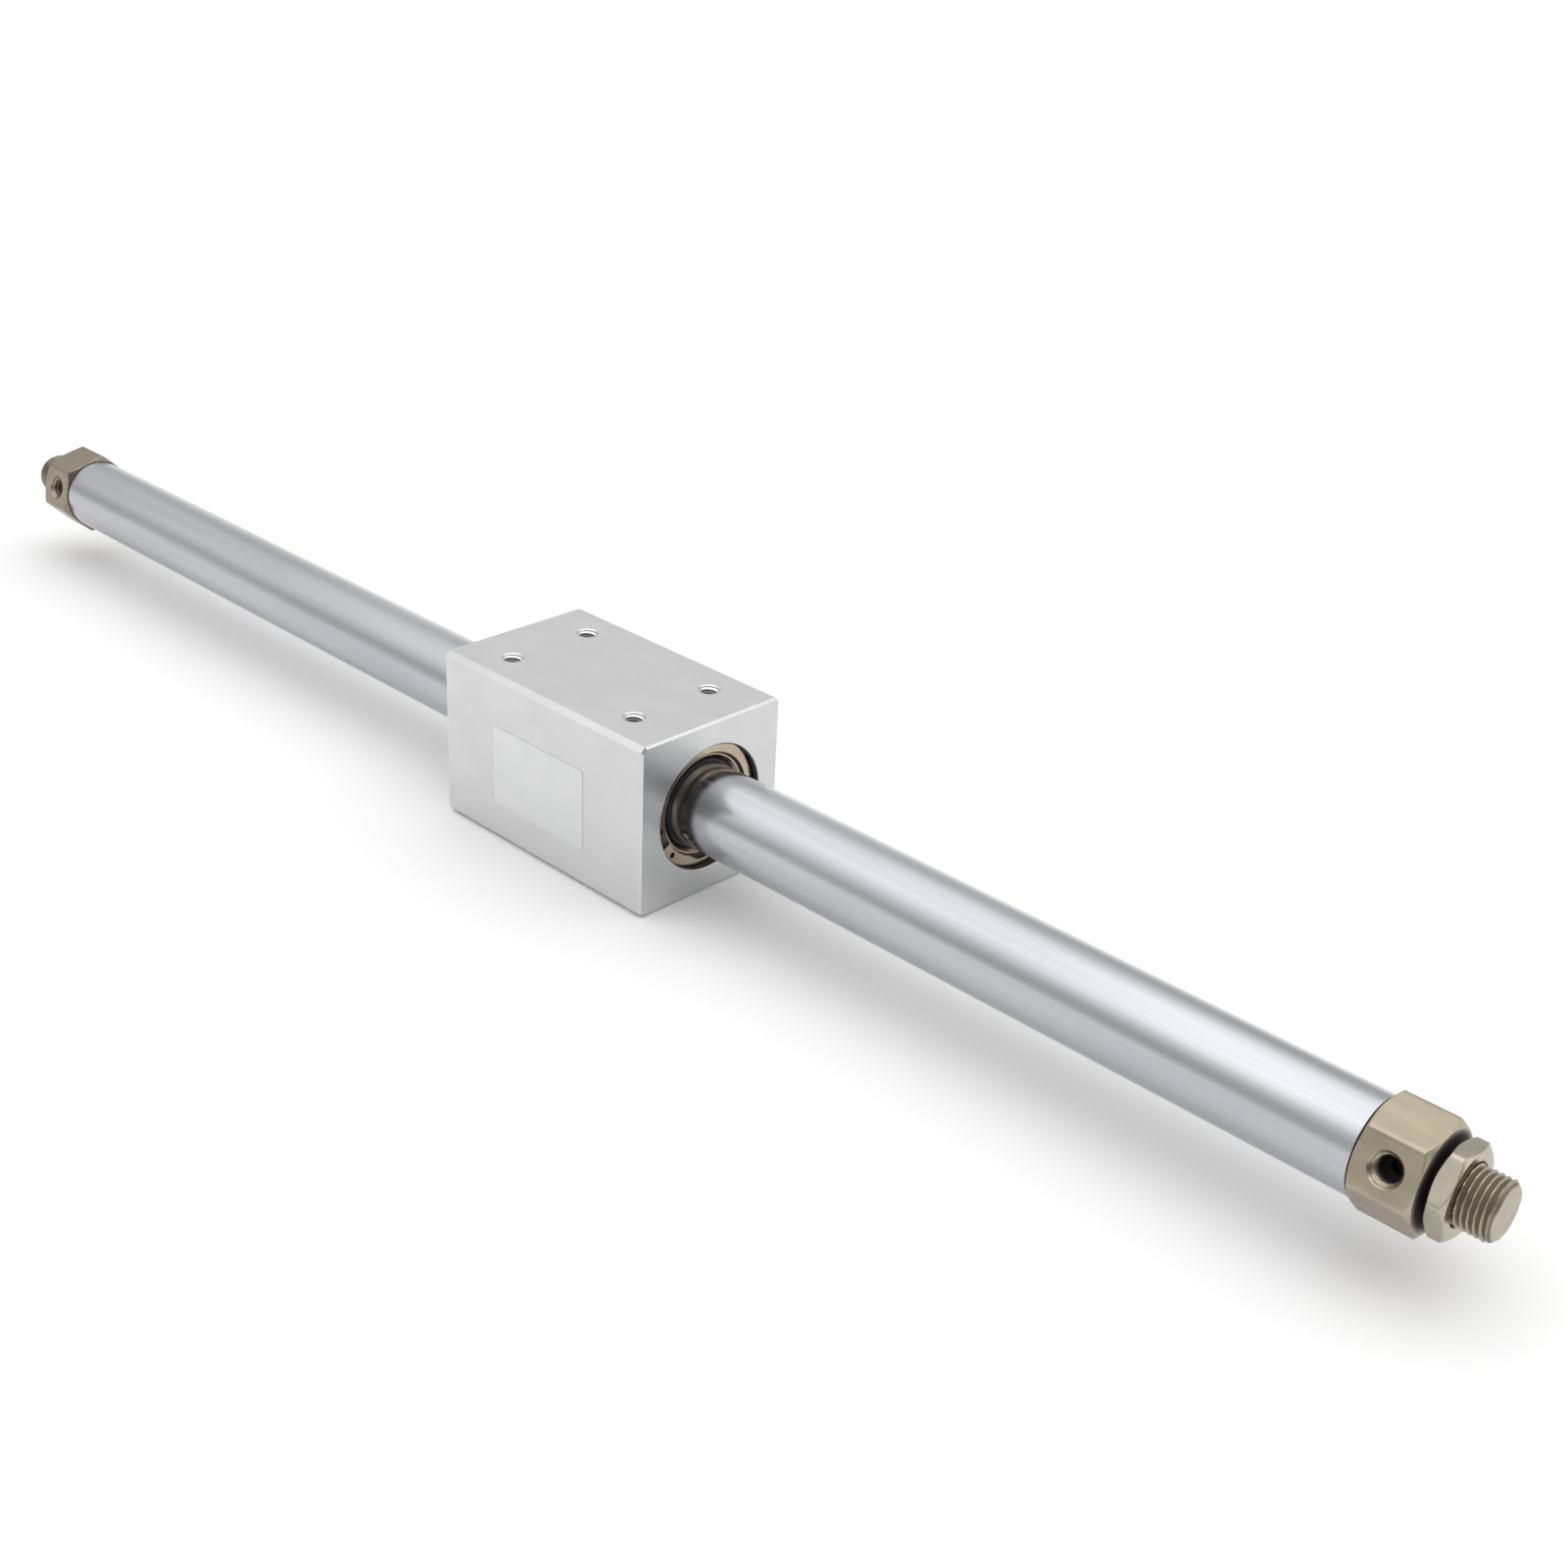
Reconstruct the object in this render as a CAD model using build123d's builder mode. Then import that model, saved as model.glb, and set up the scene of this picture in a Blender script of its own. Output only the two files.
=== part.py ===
from build123d import *
from math import cos, radians, sin, tan
import os

os.makedirs("parts", exist_ok=True)

# Magnetically coupled rodless cylinder, 15 mm bore and 300 mm stroke.
# A piston with a stack of ring magnets runs inside a thin stainless tube and pulls
# a second stack, held in the slider block, along the outside of the tube.
# Origin on the tube's axis at mid length, +X along the tube to the end with the nut,
# +Z out of the slider's face with the four threaded holes. All sizes in millimetres.

# Stroke and place of the slider
stroke = 300.0
slider_rest = 12.25
limit_gap = 0.3

# Shapes that several pieces share
hexagon_sides = 6
mouth_cone_angle = 90.0

# Cylinder tube
tube_bore = 15.0
tube_wall = 0.8
spigot_length = 6.0

# Piston, from its middle outwards, with as many magnets as the slider
magnet_count = 3
yoke_count = magnet_count + 1
yoke_length = 2.75
shaft_diameter = 4.0
shaft_thread_depth = 3.5
inner_magnet_diameter = 13.6
inner_yoke_diameter = 14.0
piston_length = 5.0
piston_clearance = 0.15
piston_seal_width = 1.5
piston_seal_depth = 1.4
piston_ring_width = 1.2
piston_ring_depth = 0.7
piston_groove_margin = 0.7
seal_clearance = 0.03
seal_crest_part = 0.25
bumper_length = 2.2
bumper_diameter = 10.4
bumper_bore = 3.6
bumper_round = 0.5

# Head covers
cover_length = 10.5
cover_flats = 17.0
cover_end_radius = 8.45
cover_seam_radius = 8.4
cover_chamfer_angle = 30.0
near_port_flat_turn = 21.5
far_port_flat_turn = 14.0
stud_diameter = 10.0
stud_length = 10.0
stud_chamfer = 0.6
stud_neck_diameter = 8.8
stud_neck_length = 1.2
port_diameter = 5.0
port_depth = 5.0
port_mouth_chamfer = 0.35
port_from_seam = 5.3
passage_diameter = 2.6
gasket_width = 1.6
gasket_depth = 1.2
gasket_from_face = 2.2
gasket_chamfer = 0.35

# Mounting nut
nut_flats = 14.0
nut_thickness = 3.2
nut_gap = 1.0
nut_turn = 37.5
nut_end_radius = 6.9
nut_mouth_chamfer = 0.35

# Slider block
slider_length = 57.0
slider_width = 35.0
slider_height = 35.0
slider_top_chamfer = 1.0
slider_edge_chamfer = 0.4
slider_bore = 25.0
slider_mouth_chamfer = 0.3
hole_pitch_along = 35.0
hole_pitch_across = 19.0
hole_diameter = 4.0
hole_depth = 6.0
hole_mouth_chamfer = 0.25
label_length = 26.0
label_height = 16.5
label_thickness = 0.1
label_shift_along = -0.6
label_shift_up = -1.3
label_corner = 0.8

# Rings in each end of the slider, from the mouth inwards
ring_recess = 0.9
ring_groove_depth = 0.6
snap_ring_thickness = 1.0
snap_ring_width = 1.5
snap_ring_gap_half_angle = 8.0
snap_ring_gap_turn = 199.0
snap_ring_lug_reach = 2.2
snap_ring_lug_span = 46.0
snap_ring_eye = 1.2
spacer_length = 2.6
spacer_bore = 21.6
spacer_lip_bore = 18.0
spacer_lip_length = 1.3
spacer_lip_cone = 0.8
scraper_bore_clearance = 0.04
scraper_edge_depth = 2.15
scraper_edge_width = 0.45
scraper_heel_width = 0.8
wear_ring_clearance = 0.05
wear_ring_end_gap = 0.1
wear_ring_length = 5.2
felt_length = 1.1
felt_clearance = 0.1
outer_ring_clearance = 0.5


# Sizes that follow from the ones above
tube_outer_radius = tube_bore / 2 + tube_wall
hexagon_half_side = 180 / hexagon_sides
end_rings = ring_recess + snap_ring_thickness + spacer_length + felt_length
end_stack = end_rings + wear_ring_length + 2 * wear_ring_end_gap
stack_length = slider_length - 2 * end_stack
magnet_length = (stack_length - yoke_count * yoke_length) / magnet_count
piston_half = stack_length / 2 + piston_length + bumper_length
spigot_face = stroke / 2 + piston_half + limit_gap
seam = spigot_face + spigot_length
cover_face = seam + cover_length
stud_tip = cover_face + stud_length
slider_bore_radius = slider_bore / 2
outer_ring_inner_radius = tube_outer_radius + outer_ring_clearance
wear_ring_inner_radius = tube_outer_radius + wear_ring_clearance
stack_pitch = magnet_length + yoke_length
port_axis_x = seam + port_from_seam
port_floor = cover_flats / 2 - port_depth


def export_piece(builder, name):
    builder.part.label = name
    export_step(builder.part, "parts/" + name + ".step")


# Cylinder tube, a drawn thin-walled stainless tube pressed over both covers' spigots
with BuildPart() as cylinder_tube:
    with BuildSketch(Plane.YZ.offset(-seam)):
        Circle(tube_outer_radius)
        Circle(tube_bore / 2, mode=Mode.SUBTRACT)
    extrude(amount=2 * seam)
export_piece(cylinder_tube, "cylinder_tube")


def head_cover(sign):
    """Hexagon cover with its spigot, threaded stud and air port, turned for one end."""
    flat_turn = near_port_flat_turn if sign > 0 else far_port_flat_turn
    end_plane = Plane.YZ.offset(sign * seam)
    port_plane = Plane(
        origin=(sign * port_axis_x, 0, 0),
        x_dir=(1, 0, 0),
        z_dir=(0, -cos(radians(flat_turn)), sin(radians(flat_turn))),
    )
    hex_corner = cover_flats / 2 / cos(radians(hexagon_half_side))
    slope = tan(radians(cover_chamfer_angle))
    end_cut = (hex_corner - cover_end_radius) * slope
    seam_cut = (hex_corner - cover_seam_radius) * slope
    groove_start = spigot_face + gasket_from_face
    with BuildPart() as cover:
        with BuildSketch(end_plane):
            RegularPolygon(
                cover_flats / 2,
                hexagon_sides,
                major_radius=False,
                rotation=hexagon_half_side - flat_turn,
            )
        extrude(amount=sign * cover_length)
        # Both ends are turned to a cone, which rounds off the six corners
        with BuildSketch(Plane.XY):
            with BuildLine():
                Polyline(
                    (sign * seam, 0),
                    (sign * seam, cover_seam_radius),
                    (sign * (seam + seam_cut), hex_corner),
                    (sign * (cover_face - end_cut), hex_corner),
                    (sign * cover_face, cover_end_radius),
                    (sign * cover_face, 0),
                    close=True,
                )
            make_face()
        revolve(axis=Axis.X, mode=Mode.INTERSECT)
        # Spigot inside the tube with its gasket groove, and the stud with neck and lead
        with BuildSketch(Plane.XY):
            with BuildLine():
                Polyline(
                    (sign * spigot_face, 0),
                    (sign * spigot_face, tube_bore / 2),
                    (sign * groove_start, tube_bore / 2),
                    (sign * groove_start, tube_bore / 2 - gasket_depth),
                    (sign * (groove_start + gasket_width), tube_bore / 2 - gasket_depth),
                    (sign * (groove_start + gasket_width), tube_bore / 2),
                    (sign * seam, tube_bore / 2),
                    (sign * seam, 0),
                    close=True,
                )
            make_face()
            with BuildLine():
                Polyline(
                    (sign * cover_face, 0),
                    (sign * cover_face, stud_neck_diameter / 2),
                    (sign * (cover_face + stud_neck_length), stud_neck_diameter / 2),
                    (sign * (cover_face + stud_neck_length), stud_diameter / 2),
                    (sign * (stud_tip - stud_chamfer), stud_diameter / 2),
                    (sign * stud_tip, stud_diameter / 2 - stud_chamfer),
                    (sign * stud_tip, 0),
                    close=True,
                )
            make_face()
        revolve(axis=Axis.X)
        # Air port drilled into one flat, and the passage from it to the piston's side
        with Locations(port_plane.offset(cover_flats / 2)):
            CounterSinkHole(
                port_diameter / 2,
                port_diameter / 2 + port_mouth_chamfer,
                depth=port_depth,
                counter_sink_angle=mouth_cone_angle,
            )
        with BuildSketch(port_plane):
            Circle(passage_diameter / 2)
        extrude(amount=port_floor, mode=Mode.SUBTRACT)
        with BuildSketch(Plane.YZ.offset(sign * spigot_face)):
            Circle(passage_diameter / 2)
        extrude(amount=sign * (port_axis_x - spigot_face), mode=Mode.SUBTRACT)
    return cover


def tube_gasket(sign):
    """Rubber ring that fills the spigot's groove out to the tube's bore."""
    groove_start = spigot_face + gasket_from_face
    groove_end = groove_start + gasket_width
    with BuildPart() as gasket:
        with BuildSketch(Plane.XY):
            with BuildLine():
                Polyline(
                    (sign * groove_start, tube_bore / 2 - gasket_depth),
                    (sign * groove_start, tube_bore / 2 - gasket_chamfer),
                    (sign * (groove_start + gasket_chamfer), tube_bore / 2),
                    (sign * (groove_end - gasket_chamfer), tube_bore / 2),
                    (sign * groove_end, tube_bore / 2 - gasket_chamfer),
                    (sign * groove_end, tube_bore / 2 - gasket_depth),
                    close=True,
                )
            make_face()
        revolve(axis=Axis.X)
    return gasket


# Mounting nut, thin hexagon with both faces chamfered, screwed close up to its cover
with BuildPart() as mounting_nut:
    nut_start = cover_face + nut_gap
    nut_end = nut_start + nut_thickness
    nut_corner = nut_flats / 2 / cos(radians(hexagon_half_side))
    nut_cut = (nut_corner - nut_end_radius) * tan(radians(cover_chamfer_angle))
    with BuildSketch(Plane.YZ.offset(nut_start)):
        RegularPolygon(
            nut_flats / 2, hexagon_sides, major_radius=False, rotation=hexagon_half_side - nut_turn
        )
        Circle(stud_diameter / 2, mode=Mode.SUBTRACT)
    extrude(amount=nut_thickness)
    with BuildSketch(Plane.XY):
        with BuildLine():
            Polyline(
                (nut_start, stud_diameter / 2 + nut_mouth_chamfer),
                (nut_start, nut_end_radius),
                (nut_start + nut_cut, nut_corner),
                (nut_end - nut_cut, nut_corner),
                (nut_end, nut_end_radius),
                (nut_end, stud_diameter / 2 + nut_mouth_chamfer),
                (nut_end - nut_mouth_chamfer, stud_diameter / 2),
                (nut_start + nut_mouth_chamfer, stud_diameter / 2),
                close=True,
            )
        make_face()
    revolve(axis=Axis.X, mode=Mode.INTERSECT)
export_piece(mounting_nut, "mounting_nut")


# Slider block, one bored aluminium block with the four threaded holes in its top face
with BuildPart() as slider_body:
    with BuildSketch(Plane.YZ.offset(slider_rest - slider_length / 2)):
        Rectangle(slider_width, slider_height)
    extrude(amount=slider_length)
    long_edges = slider_body.edges().filter_by(Axis.X)
    chamfer(long_edges, length=slider_top_chamfer)
    end_faces = slider_body.faces().filter_by(Axis.X)
    chamfer(end_faces.edges(), length=slider_edge_chamfer)
    with BuildSketch(Plane.YZ.offset(slider_rest - slider_length / 2)):
        Circle(slider_bore_radius)
    extrude(amount=slider_length, mode=Mode.SUBTRACT)
    mouth_edges = slider_body.edges().filter_by(GeomType.CIRCLE)
    chamfer(mouth_edges, length=slider_mouth_chamfer)
    for sign in (-1, 1):
        groove_plane = Plane.YZ.offset(slider_rest + sign * (slider_length / 2 - ring_recess))
        with BuildSketch(groove_plane):
            Circle(slider_bore_radius + ring_groove_depth)
        extrude(amount=-sign * snap_ring_thickness, mode=Mode.SUBTRACT)
    with Locations(Plane.XY.offset(slider_height / 2)):
        with Locations((slider_rest, 0)):
            with GridLocations(hole_pitch_along, hole_pitch_across, 2, 2):
                CounterSinkHole(
                    hole_diameter / 2,
                    hole_diameter / 2 + hole_mouth_chamfer,
                    depth=hole_depth,
                    counter_sink_angle=mouth_cone_angle,
                )
export_piece(slider_body, "slider_body")


# Label plate, a thin metal foil on the side of the block, left bare
with BuildPart() as label_plate:
    with BuildSketch(Plane.XZ.offset(slider_width / 2)):
        with Locations((slider_rest + label_shift_along, label_shift_up)):
            RectangleRounded(label_length, label_height, label_corner)
    extrude(amount=label_thickness)
export_piece(label_plate, "label_plate")


def polar_point(radius, angle):
    """Sketch point at this radius and at this angle in degrees."""
    return (radius * cos(radians(angle)), radius * sin(radians(angle)))


def slider_offset(sign, distance):
    """Place along X of a distance inwards from the block's end on this side."""
    return slider_rest + sign * (slider_length / 2 - distance)


def snap_ring(sign):
    """Internal snap ring: an open ring with two eyed lugs beside its gap."""
    outer = slider_bore_radius + ring_groove_depth
    inner = outer - snap_ring_width - ring_groove_depth
    lug_inner = outer - snap_ring_lug_reach - ring_groove_depth
    eye_radius = (lug_inner + slider_bore_radius) / 2
    gap_start = snap_ring_gap_turn - snap_ring_gap_half_angle
    gap_end = snap_ring_gap_turn + snap_ring_gap_half_angle
    wedge_reach = outer * 2
    with BuildPart() as ring:
        with BuildSketch(Plane.YZ.offset(slider_offset(sign, ring_recess))):
            Circle(outer)
            Circle(inner, mode=Mode.SUBTRACT)
            # A lug on either side of the gap, each with an eye for the pliers
            for lug_start in (gap_start - snap_ring_lug_span, gap_end):
                lug_end = lug_start + snap_ring_lug_span
                with BuildLine():
                    Line(polar_point(lug_inner, lug_start), polar_point(inner, lug_start))
                    CenterArc((0, 0), inner, lug_start, snap_ring_lug_span)
                    Line(polar_point(inner, lug_end), polar_point(lug_inner, lug_end))
                    CenterArc((0, 0), lug_inner, lug_start, snap_ring_lug_span)
                make_face()
            for lug_start in (gap_start - snap_ring_lug_span, gap_end):
                with Locations(polar_point(eye_radius, lug_start + snap_ring_lug_span / 2)):
                    Circle(snap_ring_eye / 2, mode=Mode.SUBTRACT)
            # The gap, cut out as a wedge
            with BuildLine():
                Polyline(
                    (0, 0),
                    polar_point(wedge_reach, gap_start),
                    polar_point(wedge_reach, gap_end),
                    close=True,
                )
            make_face(mode=Mode.SUBTRACT)
        extrude(amount=-sign * snap_ring_thickness)
    return ring


def spacer_ring(sign):
    """Nickel-plated ring behind the snap ring, with a coned lip that keeps the scraper in."""
    outer_end = slider_offset(sign, ring_recess + snap_ring_thickness)
    cone_end = slider_offset(sign, ring_recess + snap_ring_thickness + spacer_lip_cone)
    lip_end = slider_offset(sign, ring_recess + snap_ring_thickness + spacer_lip_length)
    inner_end = slider_offset(sign, ring_recess + snap_ring_thickness + spacer_length)
    with BuildPart() as ring:
        with BuildSketch(Plane.XY):
            with BuildLine():
                Polyline(
                    (cone_end, spacer_lip_bore / 2),
                    (outer_end, spacer_lip_bore / 2 + spacer_lip_cone),
                    (outer_end, slider_bore_radius),
                    (inner_end, slider_bore_radius),
                    (inner_end, spacer_bore / 2),
                    (lip_end, spacer_bore / 2),
                    (lip_end, spacer_lip_bore / 2),
                    close=True,
                )
            make_face()
        revolve(axis=Axis.X)
    return ring


def scraper(sign):
    """Rubber wiper seated behind the spacer's lip, its edge leaning out on the tube."""
    lip_end = slider_offset(sign, ring_recess + snap_ring_thickness + spacer_lip_length)
    edge = slider_offset(sign, scraper_edge_depth)
    inner_end = slider_offset(sign, ring_recess + snap_ring_thickness + spacer_length)
    bore = tube_outer_radius + scraper_bore_clearance
    with BuildPart() as ring:
        with BuildSketch(Plane.XY):
            with BuildLine():
                Polyline(
                    (edge, bore),
                    (edge, bore + scraper_edge_width),
                    (lip_end, spacer_lip_bore / 2),
                    (lip_end, spacer_bore / 2),
                    (inner_end, spacer_bore / 2),
                    (inner_end, bore + scraper_heel_width),
                    close=True,
                )
            make_face()
        revolve(axis=Axis.X)
    return ring


def felt_ring(sign):
    """Oiled felt ring between the spacer and the wear ring."""
    start = slider_offset(sign, ring_recess + snap_ring_thickness + spacer_length)
    with BuildPart() as ring:
        with BuildSketch(Plane.YZ.offset(start)):
            Circle(slider_bore_radius)
            Circle(tube_outer_radius + felt_clearance, mode=Mode.SUBTRACT)
        extrude(amount=-sign * felt_length)
    return ring


def wear_ring(sign):
    """Plastic guide ring that runs on the tube, free to turn inside the block's bore."""
    start = slider_offset(sign, end_rings + wear_ring_end_gap)
    with BuildPart() as ring:
        with BuildSketch(Plane.YZ.offset(start)):
            Circle(slider_bore_radius - wear_ring_clearance)
            Circle(wear_ring_inner_radius, mode=Mode.SUBTRACT)
        extrude(amount=-sign * wear_ring_length)
    return ring


def stack_ring(middle, start, length, outer_radius, inner_radius):
    """One flat ring of a magnet stack, its start counted from the stack's far end."""
    with BuildPart() as ring:
        with BuildSketch(Plane.YZ.offset(middle - stack_length / 2 + start)):
            Circle(outer_radius)
            Circle(inner_radius, mode=Mode.SUBTRACT)
        extrude(amount=length)
    return ring


def piston(sign):
    """Piston head with a groove each for its seal and its guide ring, bored for the shaft."""
    inner = slider_rest + sign * stack_length / 2
    outer = inner + sign * piston_length
    radius = tube_bore / 2 - piston_clearance
    seal_start = outer - sign * piston_groove_margin
    seal_end = seal_start - sign * piston_seal_width
    ring_end = inner + sign * piston_groove_margin
    ring_start = ring_end + sign * piston_ring_width
    with BuildPart() as head:
        with BuildSketch(Plane.XY):
            with BuildLine():
                Polyline(
                    (outer, 0),
                    (outer, radius),
                    (seal_start, radius),
                    (seal_start, radius - piston_seal_depth),
                    (seal_end, radius - piston_seal_depth),
                    (seal_end, radius),
                    (ring_start, radius),
                    (ring_start, radius - piston_ring_depth),
                    (ring_end, radius - piston_ring_depth),
                    (ring_end, radius),
                    (inner, radius),
                    (inner, shaft_diameter / 2),
                    (inner + sign * shaft_thread_depth, shaft_diameter / 2),
                    (inner + sign * shaft_thread_depth, 0),
                    close=True,
                )
            make_face()
        revolve(axis=Axis.X)
    return head


def piston_seal(sign):
    """Rubber seal ring in the piston's outer groove, just clear of the tube's bore."""
    outer = slider_rest + sign * (stack_length / 2 + piston_length)
    seal_start = outer - sign * piston_groove_margin
    seal_end = seal_start - sign * piston_seal_width
    floor = tube_bore / 2 - piston_clearance - piston_seal_depth
    crest = tube_bore / 2 - seal_clearance
    shoulder = tube_bore / 2 - piston_clearance
    crest_start = seal_start + (seal_end - seal_start) * seal_crest_part
    crest_end = seal_end - (seal_end - seal_start) * seal_crest_part
    with BuildPart() as ring:
        with BuildSketch(Plane.XY):
            with BuildLine():
                Polyline(
                    (seal_start, floor),
                    (seal_start, shoulder - piston_clearance),
                    (crest_start, crest),
                    (crest_end, crest),
                    (seal_end, shoulder - piston_clearance),
                    (seal_end, floor),
                    close=True,
                )
            make_face()
        revolve(axis=Axis.X)
    return ring


def piston_guide_ring(sign):
    """Plastic guide ring in the piston's inner groove."""
    inner = slider_rest + sign * stack_length / 2
    start = inner + sign * piston_groove_margin
    with BuildPart() as ring:
        with BuildSketch(Plane.YZ.offset(start)):
            Circle(tube_bore / 2 - seal_clearance)
            Circle(tube_bore / 2 - piston_clearance - piston_ring_depth, mode=Mode.SUBTRACT)
        extrude(amount=sign * piston_ring_width)
    return ring


def bumper(sign):
    """Urethane cushion on the piston's end that meets the head cover's spigot."""
    start = slider_rest + sign * (stack_length / 2 + piston_length)
    end = start + sign * bumper_length
    with BuildPart() as ring:
        with BuildSketch(Plane.XY):
            with BuildLine():
                Polyline(
                    (start, bumper_bore / 2),
                    (start, bumper_diameter / 2),
                    (end - sign * bumper_round, bumper_diameter / 2),
                    (end, bumper_diameter / 2 - bumper_round),
                    (end, bumper_bore / 2),
                    close=True,
                )
            make_face()
        revolve(axis=Axis.X)
    return ring


# Piston shaft, a stainless rod screwed into both pistons through the inner stack
with BuildPart() as piston_shaft:
    with BuildSketch(Plane.YZ.offset(slider_rest - stack_length / 2 - shaft_thread_depth)):
        Circle(shaft_diameter / 2)
    extrude(amount=stack_length + 2 * shaft_thread_depth)
export_piece(piston_shaft, "piston_shaft")

# Pieces that both ends have alike
paired_pieces = {
    "head_cover": head_cover,
    "tube_gasket": tube_gasket,
    "snap_ring": snap_ring,
    "spacer_ring": spacer_ring,
    "scraper": scraper,
    "felt_ring": felt_ring,
    "wear_ring": wear_ring,
    "piston": piston,
    "piston_seal": piston_seal,
    "piston_guide_ring": piston_guide_ring,
    "bumper": bumper,
}
for end_name, end_sign in (("near", 1), ("far", -1)):
    for piece_name, make_piece in paired_pieces.items():
        export_piece(make_piece(end_sign), end_name + "_" + piece_name)

# Magnets between yokes, one stack in the slider and one on the piston's shaft
for number in range(yoke_count):
    yoke_start = number * stack_pitch
    outer_yoke = stack_ring(
        slider_rest, yoke_start, yoke_length, slider_bore_radius, outer_ring_inner_radius
    )
    export_piece(outer_yoke, "outer_yoke_" + str(number + 1))
    inner_yoke = stack_ring(
        slider_rest, yoke_start, yoke_length, inner_yoke_diameter / 2, shaft_diameter / 2
    )
    export_piece(inner_yoke, "inner_yoke_" + str(number + 1))
for number in range(magnet_count):
    magnet_start = number * stack_pitch + yoke_length
    outer_magnet = stack_ring(
        slider_rest, magnet_start, magnet_length, slider_bore_radius, outer_ring_inner_radius
    )
    export_piece(outer_magnet, "outer_magnet_" + str(number + 1))
    inner_magnet = stack_ring(
        slider_rest, magnet_start, magnet_length, inner_magnet_diameter / 2, shaft_diameter / 2
    )
    export_piece(inner_magnet, "inner_magnet_" + str(number + 1))
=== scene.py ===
from math import cos, radians, sin, tan

import bmesh
import bpy
import numpy as np
from mathutils import Matrix, Vector
from mathutils.geometry import delaunay_2d_cdt


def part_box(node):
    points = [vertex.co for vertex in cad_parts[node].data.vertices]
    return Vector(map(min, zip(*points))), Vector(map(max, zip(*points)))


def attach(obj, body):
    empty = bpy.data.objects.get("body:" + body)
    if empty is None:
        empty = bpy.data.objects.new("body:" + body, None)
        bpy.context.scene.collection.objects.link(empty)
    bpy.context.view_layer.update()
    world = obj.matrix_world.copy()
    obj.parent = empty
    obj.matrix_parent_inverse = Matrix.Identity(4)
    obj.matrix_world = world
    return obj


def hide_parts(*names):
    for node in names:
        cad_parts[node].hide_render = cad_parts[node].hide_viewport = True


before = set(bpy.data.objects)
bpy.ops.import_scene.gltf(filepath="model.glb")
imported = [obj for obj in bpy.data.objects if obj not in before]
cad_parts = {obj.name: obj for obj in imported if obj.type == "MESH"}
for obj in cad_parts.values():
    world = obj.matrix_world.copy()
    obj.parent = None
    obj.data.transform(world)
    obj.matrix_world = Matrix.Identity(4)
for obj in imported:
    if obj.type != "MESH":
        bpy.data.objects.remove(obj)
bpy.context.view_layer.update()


# Cylinder tube: a thin stainless tube, drawn and then polished along its length, so that faint
# lines run from end to end. It is pressed over the spigots of both head covers.
mm = 0.001
tube_low, tube_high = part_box("cylinder_tube")
tube_radius = tube_high.z
tube_wall = 0.8 * mm
tube_edge_round = 0.22 * mm
near_seam_gap, far_seam_gap = 0.2 * mm, 0.07 * mm
tube_edge_steps = 5
tube_stations = 25
tube_sides = 256
tube_colour = "#BFC0C4"
tube_shade = "#B5B6BB"
tube_roughness = (0.17, 0.26)
draw_line_pitch = 0.45 * mm
draw_line_length = 60.0 * mm
draw_line_depth = 0.0009 * mm
noise_low, noise_high = 0.35, 0.65
# Painted shade in the metal: how dark it gets, how soft its edge is and how matt it makes the surface
painted_shade_share = 0.94
painted_shade_blur = 0.1 * mm
painted_shade_roughness = 0.75
weld_distance = 0.0004 * mm
piece_sharp_angle = 32.0


def linear(code):
    """sRGB hex colour as linear RGBA: each channel v gives ((v + 0.055) / 1.055) ** 2.4, or v / 12.92 near
    black."""
    v = np.array([int(code[i:i + 2], 16) for i in (1, 3, 5)]) / 255
    v = np.where(v <= 0.04045, v / 12.92, ((v + 0.055) / 1.055) ** 2.4)
    return (*v.tolist(), 1.0)


def add_node(tree, kind, settings, links=None):
    """Adds one node. A setting goes to the node's own property or to an input, and a link joins an input to
    another node's socket."""
    node = tree.nodes.new(kind)
    for key, value in settings.items():
        if isinstance(key, str) and hasattr(node, key):
            setattr(node, key, value)
        else:
            node.inputs[key].default_value = value
    for key, socket in (links or {}).items():
        tree.links.new(socket, node.inputs[key])
    return node


def new_material(name):
    """An empty node material, its tree and its output node."""
    material = bpy.data.materials.new(name)
    material.use_nodes = True
    material.node_tree.nodes.clear()
    return material, material.node_tree, add_node(material.node_tree, "ShaderNodeOutputMaterial", {})


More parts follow.
